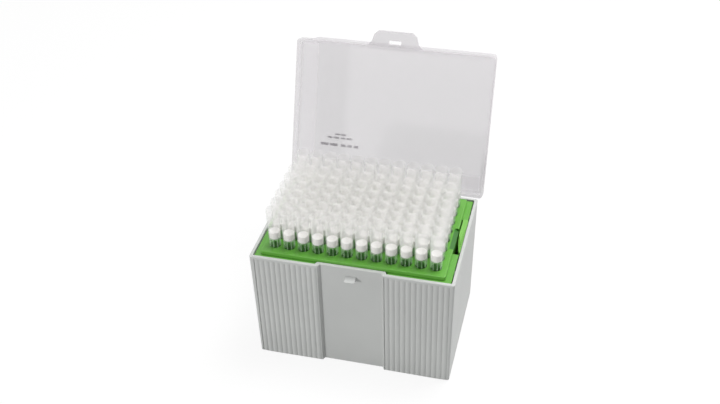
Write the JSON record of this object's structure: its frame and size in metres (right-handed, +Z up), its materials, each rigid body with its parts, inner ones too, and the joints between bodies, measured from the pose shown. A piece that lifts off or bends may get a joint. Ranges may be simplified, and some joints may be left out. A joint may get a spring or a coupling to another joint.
{
  "type": "pipette tip box",
  "caption": "Box of filter pipette tips standing in a lift-out tray, with a ribbed base, side release catches and a hinged clear lid with a latch flap.",
  "frame": {"origin": "centre of the box's flat bottom, on the surface it stands on", "axes": "+Z up, the latch side faces -Y, the lid's hinge is at +Y, +X to the right seen from the latch side; the tip grid is centred on the Z axis"},
  "size_m": [0.1296, 0.1595, 0.1726],
  "materials": {
    "box_grey": "fine matte grain, opaque polypropylene",
    "tray_green": "satin, opaque polypropylene",
    "lid_frosted": "translucent, lightly frosted polypropylene",
    "tip_clear": "clear polypropylene",
    "filter_white": "porous sintered polyethylene"
  },
  "bodies": {
    "box": {"box_base": "box_grey", "tip_tray": "tray_green", "tray_deck": "tray_green", "tips_row_a": "tip_clear", "tips_row_b": "tip_clear", "tips_row_c": "tip_clear", "tips_row_d": "tip_clear", "tips_row_e": "tip_clear", "tips_row_f": "tip_clear", "tips_row_g": "tip_clear", "tips_row_h": "tip_clear", "filters_row_a": "filter_white", "filters_row_b": "filter_white", "filters_row_c": "filter_white", "filters_row_d": "filter_white", "filters_row_e": "filter_white", "filters_row_f": "filter_white", "filters_row_g": "filter_white", "filters_row_h": "filter_white"},
    "lid": {"lid": "lid_frosted"},
    "flap": {"latch_flap": "lid_frosted"},
    "catch_right": {"tray_catch_right": "tray_green"},
    "catch_left": {"tray_catch_left": "tray_green"}
  },
  "joints": [
    {"name": "lid_hinge", "type": "hinge", "parent": "box", "child": "lid", "pos_m": [0, 0.04805, 0.0744], "axis": [1, 0, 0], "range_deg": [0, 109.6]},
    {"name": "latch_flap_hinge", "type": "hinge", "parent": "lid", "child": "flap", "pos_m": [0, 0.07924, 0.16318], "axis": [1, 0, 0], "range_deg": [0, 110], "stiffness_Nm_per_rad": 0.002},
    {"name": "tray_catch_right_press", "type": "hinge", "parent": "box", "child": "catch_right", "pos_m": [0.0588, 0.019, 0.0765], "axis": [0, 0, -1], "range_deg": [0, 2.5], "stiffness_Nm_per_rad": 0.05},
    {"name": "tray_catch_left_press", "type": "hinge", "parent": "box", "child": "catch_left", "pos_m": [-0.0588, 0.019, 0.0765], "axis": [0, 0, 1], "range_deg": [0, 2.5], "stiffness_Nm_per_rad": 0.05}
  ]
}
